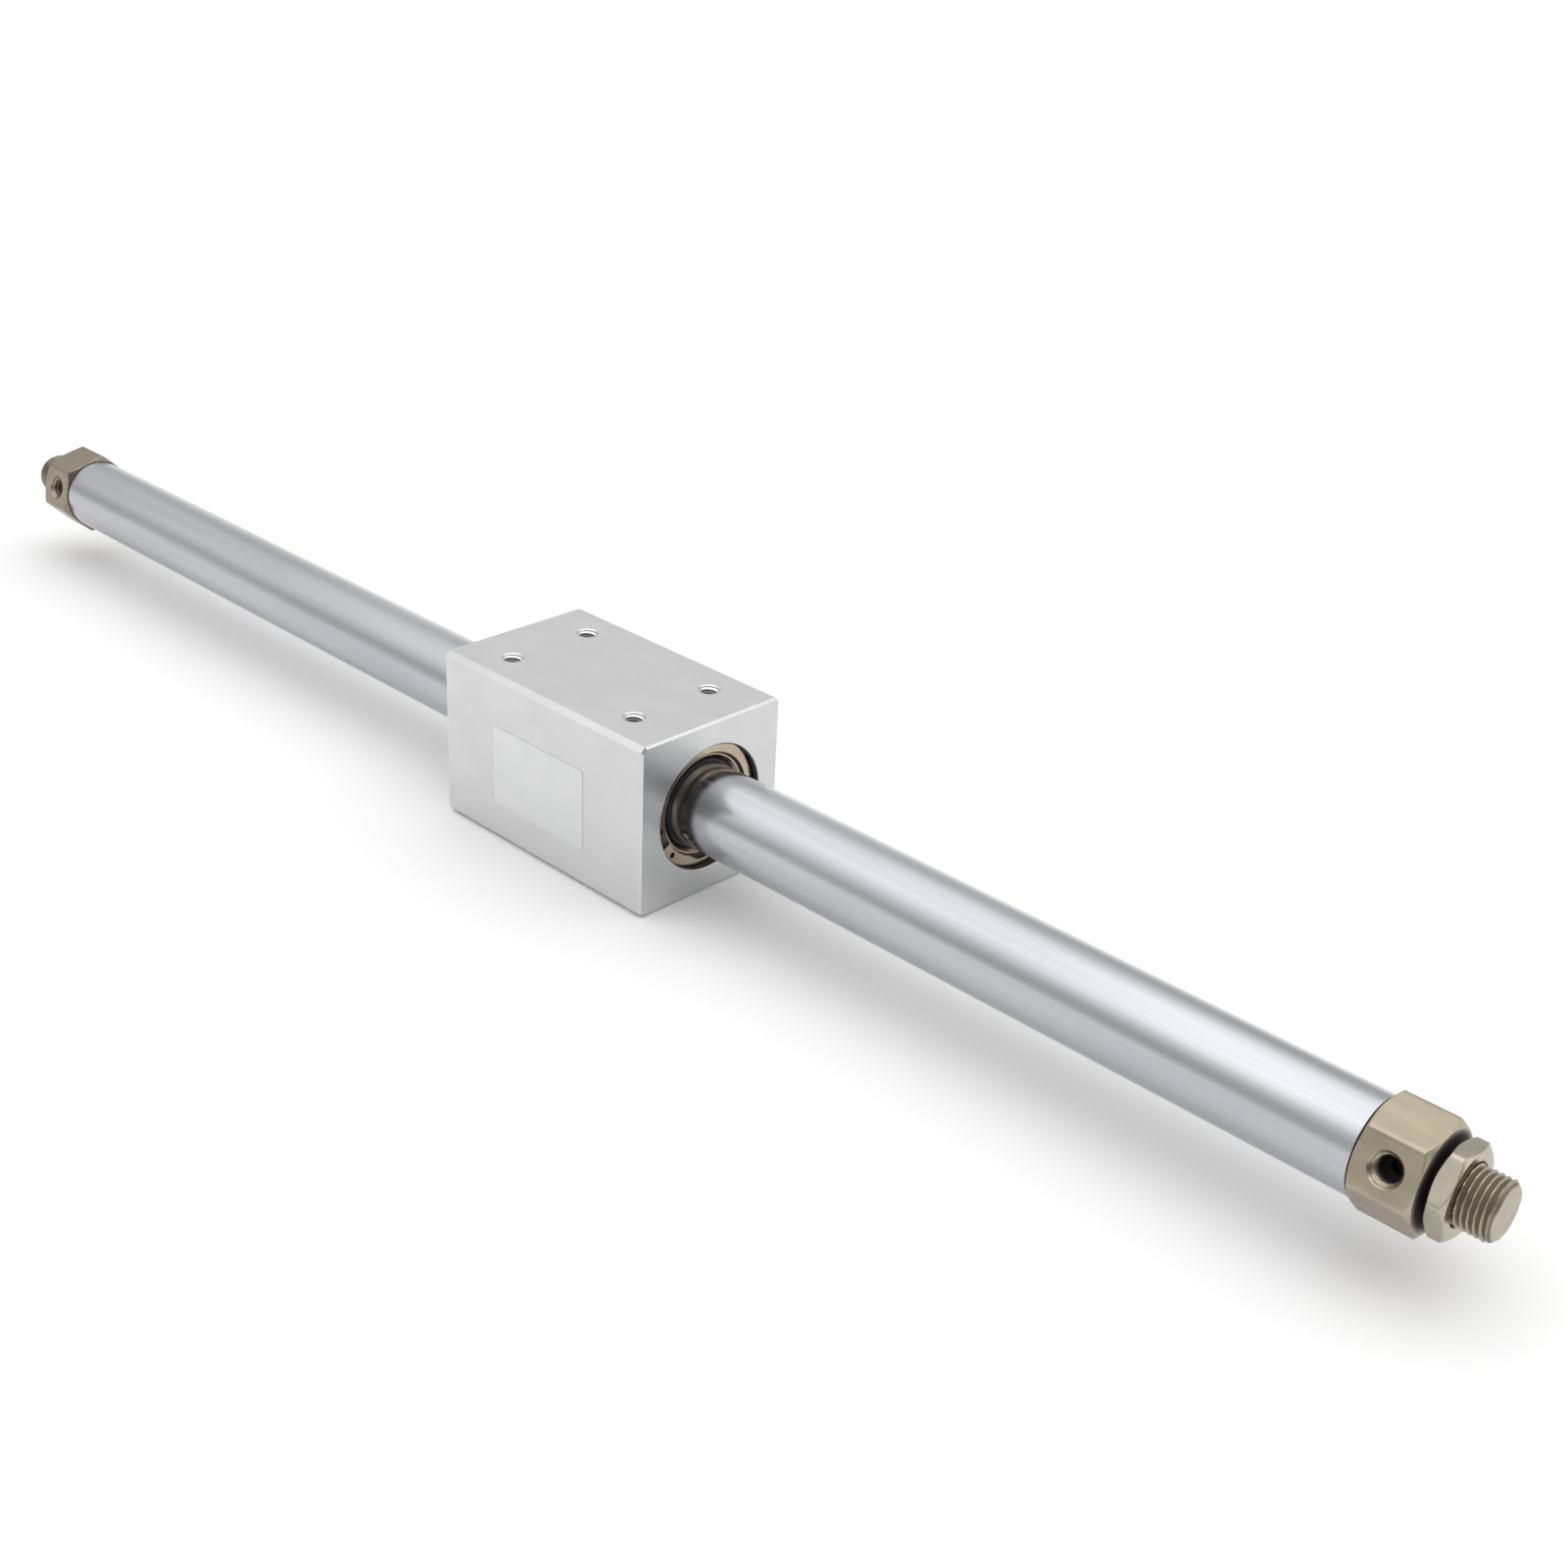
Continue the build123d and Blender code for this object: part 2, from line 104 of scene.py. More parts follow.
def finish_metal(
    name, colours, tone_sizes, grain_sizes, roughness, depth, dark_zone=(0.0, 0.0), painted_shade_colour="#24170F"
):
    """Metal shader: broad noise runs its colour between two, fine noise its roughness and a bump of the given
    depth. The sizes are the noise's cells along X, Y and Z. A piece's attribute of painted shade, where it
    has one, turns the metal to the matt dark shade colour, and so does a place whose distance from the X axis
    lies
    in the dark zone: both are painted shade. A colour Mix node has its factor at input 0, its colours at 6
    and 7 and its result at output 2."""
    material, tree, output = new_material(name)
    place = add_node(tree, "ShaderNodeTexCoord", {})
    fields = []
    for sizes in (tone_sizes, grain_sizes):
        scaled = add_node(
            tree, "ShaderNodeMapping", {"Scale": [1 / size for size in sizes]},
            {"Vector": place.outputs["Object"]},
        )
        fields.append(add_node(
            tree, "ShaderNodeTexNoise", {"Scale": 1.0, "Detail": 3.0}, {"Vector": scaled.outputs["Vector"]}
        ))
    tone, grain = fields
    tone_part = add_node(
        tree, "ShaderNodeMapRange", {"From Min": noise_low, "From Max": noise_high},
        {"Value": tone.outputs["Fac"]},
    )
    base = add_node(
        tree, "ShaderNodeMix", {"data_type": "RGBA", 6: linear(colours[0]), 7: linear(colours[1])},
        {0: tone_part.outputs["Result"]},
    )
    # Painted shade: the attribute and the dark zone mix the colour towards the dark shade colour and make it
    # matt
    painted_shade = add_node(tree, "ShaderNodeAttribute", {"attribute_name": "painted_shade"})
    across = add_node(
        tree, "ShaderNodeVectorMath", {"operation": "MULTIPLY", 1: (0.0, 1.0, 1.0)},
        {0: place.outputs["Object"]},
    )
    from_axis = add_node(tree, "ShaderNodeVectorMath", {"operation": "LENGTH"}, {0: across.outputs["Vector"]})
    zone_middle, zone_half = (dark_zone[0] + dark_zone[1]) / 2, (dark_zone[1] - dark_zone[0]) / 2
    off_middle = add_node(
        tree, "ShaderNodeMath", {"operation": "SUBTRACT", 1: zone_middle}, {0: from_axis.outputs["Value"]}
    )
    off_zone = add_node(tree, "ShaderNodeMath", {"operation": "ABSOLUTE"}, {0: off_middle.outputs["Value"]})
    in_zone = add_node(
        tree, "ShaderNodeMapRange",
        {"From Min": zone_half, "From Max": zone_half - painted_shade_blur, "To Max": painted_shade_share},
        {"Value": off_zone.outputs["Value"]},
    )
    dark = add_node(
        tree, "ShaderNodeMath", {"operation": "MAXIMUM"},
        {0: painted_shade.outputs["Fac"], 1: in_zone.outputs["Result"]},
    )
    colour = add_node(
        tree, "ShaderNodeMix", {"data_type": "RGBA", 7: linear(painted_shade_colour)},
        {0: dark.outputs["Value"], 6: base.outputs[2]},
    )
    bare_share = add_node(
        tree, "ShaderNodeMath", {"operation": "SUBTRACT", 0: 1.0}, {1: dark.outputs["Value"]}
    )
    rough = add_node(
        tree, "ShaderNodeMapRange",
        {"From Min": noise_low, "From Max": noise_high, "To Min": roughness[0], "To Max": roughness[1]},
        {"Value": grain.outputs["Fac"]},
    )
    matt = add_node(
        tree, "ShaderNodeMix", {"data_type": "FLOAT", 3: painted_shade_roughness},
        {0: dark.outputs["Value"], 2: rough.outputs["Result"]},
    )
    bump = add_node(tree, "ShaderNodeBump", {"Distance": depth}, {"Height": grain.outputs["Fac"]})
    shader = add_node(
        tree, "ShaderNodeBsdfPrincipled", {},
        {
            "Base Color": colour.outputs[2], "Metallic": bare_share.outputs["Value"],
            "Roughness": matt.outputs[0], "Normal": bump.outputs["Normal"],
        },
    )
    tree.links.new(shader.outputs["BSDF"], output.inputs["Surface"])
    return material


def ring_points(x, radius, angles):
    """Points of rings about the X axis: each is (x, radius cos angle, radius sin angle)."""
    x, radius, angles = np.broadcast_arrays(np.asarray(x), np.asarray(radius), angles)
    return np.stack([x, radius * np.cos(angles), radius * np.sin(angles)], axis=-1)


def ring_faces(index):
    """Quads between neighbouring rows of an index grid, whose last column joins its first."""
    after = np.roll(index, -1, axis=1)
    quads = np.stack([index[:-1], after[:-1], after[1:], index[1:]], axis=-1)
    return quads.reshape(-1, 4)


def make_piece(name, points, faces, material, body, slot_name, sharp_angle=piece_sharp_angle, painted_shade=None):
    """One mesh of points and faces: doubled points merged, faces outwards, smooth up to the sharp angle. The
    function given for painted shade gives each point's share of painted shade, from 0 to 1, by its place."""
    mesh = bpy.data.meshes.new(name)
    mesh.from_pydata(np.reshape(points, (-1, 3)).tolist(), [], np.asarray(faces).tolist())
    work = bmesh.new()
    work.from_mesh(mesh)
    bmesh.ops.remove_doubles(work, verts=work.verts, dist=weld_distance)
    bmesh.ops.dissolve_degenerate(work, edges=work.edges, dist=weld_distance)
    bmesh.ops.recalc_face_normals(work, faces=work.faces)
    work.to_mesh(mesh)
    work.free()
    mesh.shade_smooth()
    mesh.set_sharp_from_angle(angle=radians(sharp_angle))
    mesh.materials.append(material)
    if painted_shade:
        place = np.array([vertex.co for vertex in mesh.vertices])
        mesh.attributes.new("painted_shade", "FLOAT", "POINT").data.foreach_set("value", painted_shade(place))
    piece = bpy.data.objects.new(name, mesh)
    bpy.context.scene.collection.objects.link(piece)
    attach(piece, body)
    return piece


def tube_profile():
    """Section of the tube's wall as x and radius: a rectangle whose outer edges at both ends are quarter
    rounds."""
    turn = np.linspace(0, np.pi / 2, tube_edge_steps)
    inner, outer = tube_radius - tube_wall, tube_radius
    round_x = tube_edge_round * (1 - np.cos(turn))
    round_r = outer - tube_edge_round * (1 - np.sin(turn))
    start, end = tube_low.x + far_seam_gap, tube_high.x - near_seam_gap
    lengthwise = np.linspace(start + 2 * tube_edge_round, end - 2 * tube_edge_round, tube_stations)
    x = np.concatenate([[start], start + round_x, lengthwise, end - round_x[::-1], [end], [start]])
    radius = np.concatenate([
        [inner], round_r, np.full(lengthwise.shape, outer), round_r[::-1], [inner], [inner],
    ])
    return x, radius


def turned_ring(x, radius, sides):
    """Points and quads of a closed section, given as x and radius, carried round the X axis."""
    angles = np.linspace(0, 2 * np.pi, sides, endpoint=False)
    points = ring_points(x[:, None], radius[:, None], angles[None, :])
    index = np.arange(points.shape[0] * sides).reshape(-1, sides)
    return points, ring_faces(index)


# Drawn stainless, polished: a clear reflection, drawn out along the tube by fine lines. The real lines
# are too fine to show, so theirs is the pitch that the render needs
drawn_stainless = finish_metal(
    "drawn_stainless_steel", (tube_shade, tube_colour), (90 * mm, 4 * mm, 4 * mm),
    (draw_line_length, draw_line_pitch, draw_line_pitch), roughness=tube_roughness, depth=draw_line_depth,
)
tube = make_piece(
    "drawn_tube", *turned_ring(*tube_profile(), tube_sides), drawn_stainless, "tube_assembly",
    "stainless_tube",
)
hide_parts("cylinder_tube")


# Head covers: brass-coloured nickel over machined hexagon bar, one at each end, with a turned
# cone at both ends of the hexagon, a tapped air port in one flat and a fine-threaded stud.
cover_flats = 17.0 * mm
cover_end_radius = 8.45 * mm
cover_seam_radius = 8.4 * mm
cover_length = 10.5 * mm
cover_cone_angle = radians(30)
seam_cone_reach, end_cone_reach = 1.3 * mm, 1.2 * mm
seam_step = 0.1 * mm
corner_sharpness = 45
edge_softness = 0.045 * mm
hexagon_sharp_angle = 26.0
sector_steps = 48
sector_crowding = 0.85
cone_rows, flat_rows, face_rows, patch_rows = 16, 25, 7, 6
row_crowding = 1.5
near_flat_angle = radians(180 - 21.5)
far_flat_angle = radians(180 - 14)
port_from_seam = 5.3 * mm
port_minor_radius = 2.1 * mm
port_radius = 2.5 * mm
port_mouth = 0.35 * mm
port_depth = 5.0 * mm
port_pitch = 0.8 * mm
port_reach = 4.0 * mm
port_run_in = 0.4 * mm
port_drill_point = 0.5 * mm
tap_rows_per_turn = 12
passage_radius = 1.3 * mm
passage_depth = cover_flats / 2 - 1.6 * mm
stud_radius = 5.0 * mm
stud_root_radius = 4.45 * mm
stud_neck_radius = 4.4 * mm
stud_neck_length = 1.2 * mm
stud_neck_slope = 1.2
stud_neck_end = 0.98 * stud_neck_length
stud_length = 10.0 * mm
stud_lead = 0.8 * mm
stud_pitch = 1.0 * mm
rows_per_turn = 14
thread_steepness, thread_crest_cut = 1.35, 0.17
spigot_length = 6.0 * mm
gasket_from_face = 2.2 * mm
gasket_width = 1.6 * mm
gasket_depth = 1.2 * mm
nickel_colour = "#AFA491"
nickel_shade = "#A59B89"
nickel_roughness = (0.24, 0.34)
touch = 0.01 * mm
shade_edge = 0.1 * mm
port_shade_start, port_shade_reach = 1.1 * mm, 2.0 * mm
thread_shade, thread_shade_reach = 0.72, 0.5 * mm
nut_shade_reach = 0.8 * mm


def hexagon_radius(angles, flats, first_flat):
    """Distance from the axis to a hexagon's side: its half width over the smooth maximum of the six
    cosines."""
    sides = first_flat + np.arange(6) * np.pi / 3
    cosines = np.clip(np.cos(angles[..., None] - sides), 0, None)
    return flats / 2 / np.sum(cosines ** corner_sharpness, axis=-1) ** (1 / corner_sharpness)


def soft_minimum(*values):
    """Smallest of the values with its creases rounded: -k log of the sum of exp(-value / k)."""
    low = np.minimum.reduce(np.broadcast_arrays(*values))
    total = sum(np.exp((low - v) / edge_softness) for v in values)
    return low - edge_softness * np.log(total)


def sector_angles(first_corner):
    """Angles round a hexagon, six times sector_steps of them, crowded towards its corners by a sine."""
    part = np.arange(sector_steps) / sector_steps
    part = part - sector_crowding * np.sin(2 * np.pi * part) / (2 * np.pi)
    return (first_corner + (np.arange(6)[:, None] + part[None, :]) * np.pi / 3).ravel()


def thread_height(along, angles, pitch):
    """Right-hand thread from 0 at the root to 1 at the crest: a triangle wave of the place along the axis
    less the turn, with both tips cut flat."""
    phase = np.mod(along / pitch - angles / (2 * np.pi), 1.0)
    return np.clip((1 - np.abs(2 * phase - 1)) * thread_steepness - thread_crest_cut, 0, 1)


def coned_hexagon(distance, length, angles, flats, first_flat, seam_radius, end_radius):
    """Radius of a hexagon bar whose two ends are turned to cones, at a distance from its first end: the
    smallest of the hexagon's radius and two cones, each its end's radius and the way from there times a
    slope, with the creases rounded."""
    slope = 1 / tan(cover_cone_angle)
    return soft_minimum(
        hexagon_radius(angles, flats, first_flat) + 0 * distance,
        seam_radius + distance * slope,
        end_radius + (length - distance) * slope,
    )


def cover_rows(seam, sign, angles, flat_angle):
    """Rings of a head cover from the passage in its spigot outwards to the tip of its stud, and the rows
    between which the port's patch lies. The stud's radius runs from root to crest with the thread's height,
    and is cut down to a cone at the neck and another at the tip."""
    inner = tube_radius - tube_wall
    face = seam - spigot_length
    groove = face + gasket_from_face
    near_end = seam_cone_reach * np.linspace(0, 1, cone_rows + 1) ** row_crowding
    middle = np.linspace(seam_cone_reach, cover_length - end_cone_reach, flat_rows)
    far_end = cover_length - end_cone_reach * np.linspace(1, 0, cone_rows)[1:] ** row_crowding
    along = np.concatenate([near_end, middle[1:], far_end])
    hexagon = coned_hexagon(
        along[:, None], cover_length, angles[None, :], cover_flats, flat_angle,
        cover_seam_radius, cover_end_radius,
    )
    spigot = [
        (seam + port_from_seam, 0.0), (seam + port_from_seam, passage_radius), (face, passage_radius),
        (face, inner), (groove, inner), (groove, inner - gasket_depth),
        (groove + gasket_width, inner - gasket_depth), (groove + gasket_width, inner), (seam, inner),
        (seam, tube_radius - seam_step),
    ]
    thread_rows = int((stud_length - stud_neck_length) / stud_pitch * rows_per_turn)
    thread = np.linspace(stud_neck_length, stud_length, thread_rows)
    root_cone = stud_neck_radius + (thread - stud_neck_length) * stud_neck_slope
    tip_cone = stud_radius - stud_lead + (stud_length - thread)
    stud_x = seam + cover_length + thread
    crest = thread_height(sign * stud_x[:, None], angles[None, :], stud_pitch)
    stud = np.minimum(
        stud_root_radius + (stud_radius - stud_root_radius) * crest,
        np.minimum(root_cone, tip_cone)[:, None],
    )
    full = np.ones(angles.shape)
    radius = np.concatenate([
        np.array([r for _, r in spigot])[:, None] * full, hexagon,
        np.linspace(cover_end_radius, stud_neck_radius, face_rows + 1)[1:, None] * full,
        stud_neck_radius * full[None, :], stud, np.zeros((1, angles.size)),
    ])
    x = np.concatenate([
        [place for place, _ in spigot], seam + along, np.full(face_rows, seam + cover_length),
        [seam + cover_length + stud_neck_end], stud_x, [seam + cover_length + stud_length],
    ])
    first = len(spigot) + near_end.size - 1
    return x, radius, first, first + middle.size - 1


def port_patch(border, centre, outward):
    """Rings from the patch's border in to the port's mouth, down its thread and to its floor. Between border
    and mouth each point moves straight towards its place on the mouth's circle."""
    along = np.array([1.0, 0.0, 0.0])
    across = np.cross(outward, along)
    offset = border - centre
    turn = np.arctan2(offset @ across, offset @ along)
    circle = np.stack([np.cos(turn), np.sin(turn)], axis=-1) @ np.stack([along, across])
    mouth = centre + circle * (port_radius + port_mouth)
    share = np.linspace(0, 1, patch_rows + 1)[1:, None, None]
    rings = [border + (mouth - border) * share]
    depth = np.arange(port_mouth, port_depth, port_pitch / tap_rows_per_turn)[:, None]
    crest = thread_height(-depth, turn[None, :], port_pitch)
    crest = crest * np.clip((depth - port_mouth) / port_run_in, 0, 1)
    wall = port_radius - (port_radius - port_minor_radius) * crest
    rings.append(centre + circle * wall[..., None] - outward * depth[..., None])
    floor = [
        (port_depth, port_minor_radius), (port_depth + port_drill_point, passage_radius),
        (passage_depth, passage_radius), (passage_depth, 0.0),
    ]
    rings += [(centre + circle * r - outward * d)[None] for d, r in floor]
    return np.concatenate(rings)


def patch_border(index, first, last, left, right):
    """Index of the grid points once round the patch, and a mask of the quads that it takes the place of."""
    loop = np.concatenate([
        index[first, left:right], index[first:last, right],
        index[last, right:left:-1], index[last:first:-1, left],
    ])
    keep = np.ones((index.shape[0] - 1, index.shape[1]), bool)
    keep[first:last, left:right] = False
    return loop, keep


def cover_painted_shade(place, sign, outward):
    """Share of painted shade on a cover: it grows with the depth below the port's flat, with the depth in
    the stud's thread and towards the neck behind the nut, and fills the seam."""
    x = place[:, 0] * sign - tube_high.x
    radius = np.hypot(place[:, 1], place[:, 2])
    height = place[:, 1:] @ outward[1:]
    aside = np.hypot(x - port_from_seam, place[:, 1] * outward[2] - place[:, 2] * outward[1])
    port = (cover_flats / 2 - port_shade_start - height) / port_shade_reach
    port = port * (aside < port_radius + touch) * (height > 0)
    thread = (stud_radius - shade_edge - radius) / thread_shade_reach * thread_shade
    thread = thread * (x > cover_length + stud_neck_length) * (radius > stud_root_radius - shade_edge)
    behind_nut = (sign > 0) * (cover_end_radius - shade_edge - radius) / nut_shade_reach
    behind_nut = behind_nut * (x > cover_length - touch) * (x < cover_length + stud_neck_end + touch)
    seam_gap = (x < touch) * (radius < cover_seam_radius)
    return np.clip(np.maximum.reduce([port, thread, behind_nut, seam_gap * 1.0]), 0, 1)


def head_cover(name, node, sign, port_flat_angle, material):
    """Head cover as one closed surface: rings about the axis, with a patch for the port in one flat."""
    seam = tube_high.x
    angles = sector_angles(port_flat_angle - np.pi / 6)
    x, radius, first, last = cover_rows(seam, sign, angles, port_flat_angle)
    points = ring_points(sign * x[:, None], radius, angles[None, :])
    index = np.arange(points.shape[0] * angles.size).reshape(radius.shape)
    reach = np.abs(np.tan(angles[:sector_steps] - port_flat_angle)) * cover_flats / 2
    inside = np.flatnonzero(reach <= port_reach)
    loop, keep = patch_border(index, first, last, inside[0], inside[-1])
    outward = np.array([0.0, cos(port_flat_angle), sin(port_flat_angle)])
    centre = np.array([sign * (seam + port_from_seam), 0, 0]) + outward * cover_flats / 2
    flat_points = points.reshape(-1, 3)
    rings = port_patch(flat_points[loop], centre, outward)
    ring_index = flat_points.shape[0] + np.arange(rings.shape[0] * loop.size).reshape(rings.shape[0], -1)
    faces = np.concatenate([
        ring_faces(index)[keep.ravel()], ring_faces(np.concatenate([loop[None], ring_index])),
    ])
    all_points = np.concatenate([flat_points, rings.reshape(-1, 3)])
    cover = make_piece(
        name, all_points, faces, material, "tube_assembly", "nickel_plated_cover", hexagon_sharp_angle,
        lambda place: cover_painted_shade(place, sign, outward),
    )
    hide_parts(node)
    return cover


# Electroless nickel over machined bar: warm, with a soft reflection and faint lines along the bar, and
# a painted brown shade in the thread, the port, the seam and behind the nut
nickel_plate = finish_metal(
    "electroless_nickel_plate", (nickel_shade, nickel_colour), (7 * mm, 3 * mm, 3 * mm),
    (3.0 * mm, 0.3 * mm, 0.3 * mm), roughness=nickel_roughness, depth=0.0006 * mm,
)
# The same plating, its colour a shade duller on the far cover: a painted shade
nickel_plate_painted_shade = finish_metal(
    "electroless_nickel_plate_painted_shade", ("#918879", "#9A9081"), (7 * mm, 3 * mm, 3 * mm),
    (3.0 * mm, 0.3 * mm, 0.3 * mm), roughness=nickel_roughness, depth=0.0006 * mm,
)
head_cover("near_cover_nickel", "near_head_cover", 1, near_flat_angle, nickel_plate)
head_cover("far_cover_nickel", "far_head_cover", -1, far_flat_angle, nickel_plate_painted_shade)


# Mounting nut: thin hexagon nut of nickel-plated brass, both faces turned to a cone, screwed
# down the near cover's stud until it stands a millimetre off the cover.
nut_low, nut_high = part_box("mounting_nut")
nut_flats = 14.0 * mm
nut_end_radius = 6.9 * mm
nut_flat_angle = radians(180 - 37.5)
nut_cone_reach = 1.1 * mm
nut_mouth = 0.35 * mm
nut_thread_gap = 0.02 * mm
nut_thread_shade, nut_shaded_mouth = 0.8, 0.7


def mounting_nut_surface():
    """Nut as one closed surface: the coned hexagon outside and, inside, the larger of the stud's own thread,
    a little wider, and a cone at each mouth."""
    length = nut_high.x - nut_low.x
    angles = sector_angles(nut_flat_angle - np.pi / 6)
    end_rows = nut_cone_reach * np.linspace(0, 1, cone_rows) ** row_crowding
    along = np.concatenate([end_rows, [length / 2], length - end_rows[::-1]])
    outside = coned_hexagon(
        along[:, None], length, angles[None, :], nut_flats, nut_flat_angle, nut_end_radius, nut_end_radius
    )
    back = np.linspace(length, 0, int(length / stud_pitch * rows_per_turn))
    crest = thread_height(nut_low.x + back[:, None], angles[None, :], stud_pitch)
    thread = stud_root_radius + (stud_radius - stud_root_radius) * crest + nut_thread_gap
    mouth = stud_radius + nut_mouth - np.minimum(back, length - back)
    inside = np.maximum(thread, mouth[:, None])
    x = nut_low.x + np.concatenate([along, back, [0]])
    radius = np.concatenate([outside, inside, outside[:1]])
    points = ring_points(x[:, None], radius, angles[None, :])
    return points, ring_faces(np.arange(radius.size).reshape(radius.shape))


def nut_painted_shade(place):
    """Share of painted shade on the nut: its back, which faces the cover, and the roots of its thread."""
    radius = np.hypot(place[:, 1], place[:, 2])
    back = (place[:, 0] < nut_low.x + touch) * (radius < nut_end_radius + shade_edge)
    return np.maximum(back * 1.0, (radius < stud_radius + nut_mouth * nut_shaded_mouth) * nut_thread_shade)


# Bright nickel over brass: cooler and a little shinier than the covers
bright_nickel = finish_metal(
    "bright_nickel_on_brass", ("#AFA898", "#B8B1A1"), (4 * mm, 4 * mm, 4 * mm),
    (0.3 * mm, 1.2 * mm, 1.2 * mm), roughness=(0.22, 0.32), depth=0.0006 * mm,
)
nut = make_piece(
    "nut_nickel", *mounting_nut_surface(), bright_nickel, "tube_assembly", "nickel_plated_brass",
    hexagon_sharp_angle, nut_painted_shade,
)
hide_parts("mounting_nut")


# Slider block: bored and milled aluminium with a satin clear anodised skin, four tapped holes
# in its top face, each cut with a fine bright thread.
block_low, block_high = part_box("slider_body")
block_middle = (block_low + block_high) / 2
hole_pitch_along = 35.0 * mm
hole_pitch_across = 19.0 * mm
hole_radius = 2.0 * mm
hole_minor_radius = 1.66 * mm
hole_pitch = 0.7 * mm
hole_depth = 6.0 * mm
hole_mouth = 0.25 * mm
hole_run_in = 0.35 * mm
hole_root_gap, hole_wall_gap = 0.02 * mm, 0.005 * mm
hole_sides = 72
hole_shade = 0.65
bore_shade_radius = 12.72 * mm
hole_shade_start, hole_shade_reach = 0.85 * mm, 0.3 * mm


def dress(material, *nodes):
    """Gives CAD nodes this material in place of the one that they came with."""
    for node in nodes:
        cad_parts[node].data.materials.clear()
        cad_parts[node].data.materials.append(material)


def tapped_hole(centre):
    """Thread lining of one hole: its inner wall goes from the hole's radius in to the minor radius with the
    thread's height, and its outer wall lies on the hole's wall."""
    angles = np.linspace(0, 2 * np.pi, hole_sides, endpoint=False)
    depth = np.arange(hole_mouth, hole_depth, hole_pitch / tap_rows_per_turn)
    crest = thread_height(-depth[:, None], angles[None, :], hole_pitch)
    crest = crest * np.clip((depth - hole_mouth) / hole_run_in, 0, 1)[:, None]
    root_radius = hole_radius - hole_root_gap
    wall = root_radius - (root_radius - hole_minor_radius) * crest
    rim = np.full((1, hole_sides), hole_radius - hole_wall_gap)
    radius = np.concatenate([wall, rim, rim, wall[:1]])
    down = np.concatenate([depth, depth[-1:], depth[:1], depth[:1]])
    across = ring_points(-down[:, None], radius, angles[None, :])
    points = centre + np.stack([across[..., 1], across[..., 2], across[..., 0]], axis=-1)
    return points, ring_faces(np.arange(radius.size).reshape(radius.shape))


def hole_painted_shade(place):
    """Share of painted shade in a hole: none down to the start of the shade, then it grows over the shade's
    reach.
    """
    return hole_shade * np.clip((block_high.z - place[:, 2] - hole_shade_start) / hole_shade_reach, 0, 1)


# Satin clear anodised aluminium: pale grey, evenly matt, with an even grain from the etch, drawn coarser
# than it is so that it shows, and a painted dark shade inside the bore
satin_anodised = finish_metal(
    "satin_anodised_aluminium", ("#D0D1D0", "#D5D6D5"), (14 * mm, 9 * mm, 9 * mm),
    (0.35 * mm, 0.35 * mm, 0.35 * mm), roughness=(0.30, 0.37), depth=0.0015 * mm,
    dark_zone=(0.0, bore_shade_radius),
)
dress(satin_anodised, "slider_body")
# Cut thread: bright bare aluminium near the mouth, with a painted grey shade further down
cut_thread = finish_metal(
    "cut_thread_in_aluminium", ("#DCDDDC", "#E9EAE9"), (2 * mm, 2 * mm, 2 * mm),
    (0.2 * mm, 0.2 * mm, 0.2 * mm), roughness=(0.28, 0.4), depth=0.001 * mm, painted_shade_colour="#78787A",
)
for row, along in enumerate((-0.5, 0.5)):
    for column, across in enumerate((-0.5, 0.5)):
        hole_centre = np.array([
            block_middle.x + along * hole_pitch_along, block_middle.y + across * hole_pitch_across,
            block_high.z,
        ])
        hole_name = "block_thread_" + str(row + 1) + "_" + str(column + 1)
        make_piece(
            hole_name, *tapped_hole(hole_centre), cut_thread, "slider", "anodised_aluminium",
            painted_shade=hole_painted_shade,
        )


# Label plate: a thin aluminium foil on the block's side, left bare, its matt lacquer a little
# paler and smoother than the block around it.
lacquered_foil = finish_metal(
    "matt_lacquered_foil", ("#D8DAD9", "#DCDDDC"), (8 * mm, 8 * mm, 5 * mm), (0.4 * mm, 0.4 * mm, 0.4 * mm),
    roughness=(0.32, 0.4), depth=0.0008 * mm,
)
dress(lacquered_foil, "label_plate")


# Snap rings and spacer rings: spring steel and turned steel, nickel plated, in each end of the
# block's bore. The snap ring is sprung into a groove; it is wide opposite its gap, narrow
# beside the lugs, and each lug has an eye for the pliers.
ring_outer_radius = 13.1 * mm
ring_bore_radius = 12.5 * mm
ring_gap = radians(207)
ring_gap_half = radians(3)
ring_wide, ring_narrow = 2.0 * mm, 1.2 * mm
ring_set_back = 0.4 * mm
lug_reach = 2.2 * mm
lug_span, lug_blend = radians(36), radians(20)
eye_radius = 0.6 * mm
eye_turn = radians(17)
taper_start, taper_span = radians(50), radians(70)
ring_steps, eye_steps = 181, 24
ring_edge_width, ring_edge_steps, ring_edge_angle = 0.06 * mm, 2, radians(50)
# Painted shade on the snap ring's lug above its gap: how dark, how soft by the gap, where it fades up the
# ring
lug_painted_shade = 0.8
lug_painted_shade_edge = radians(3)
lug_painted_shade_top, lug_painted_shade_fade = radians(110), radians(25)
spacer_shade = (9.95 * mm, 13.0 * mm)


def smooth_step(part):
    """0 up to 0 and 1 from 1 on, with 3 part squared less 2 part cubed between."""
    part = np.clip(part, 0, 1)
    return part ** 2 * (3 - 2 * part)


def ring_inner_radius(from_gap):
    """Radius of the snap ring's inner edge at an angle from the gap's middle. The ring narrows towards the
    gap by a smooth step over the taper, and widens by another to the lug's reach."""
    width = ring_narrow + (ring_wide - ring_narrow) * smooth_step((from_gap - taper_start) / taper_span)
    lug_part = smooth_step((ring_gap_half + lug_span + lug_blend - from_gap) / lug_blend)
    return ring_bore_radius - width - (lug_reach - width) * lug_part


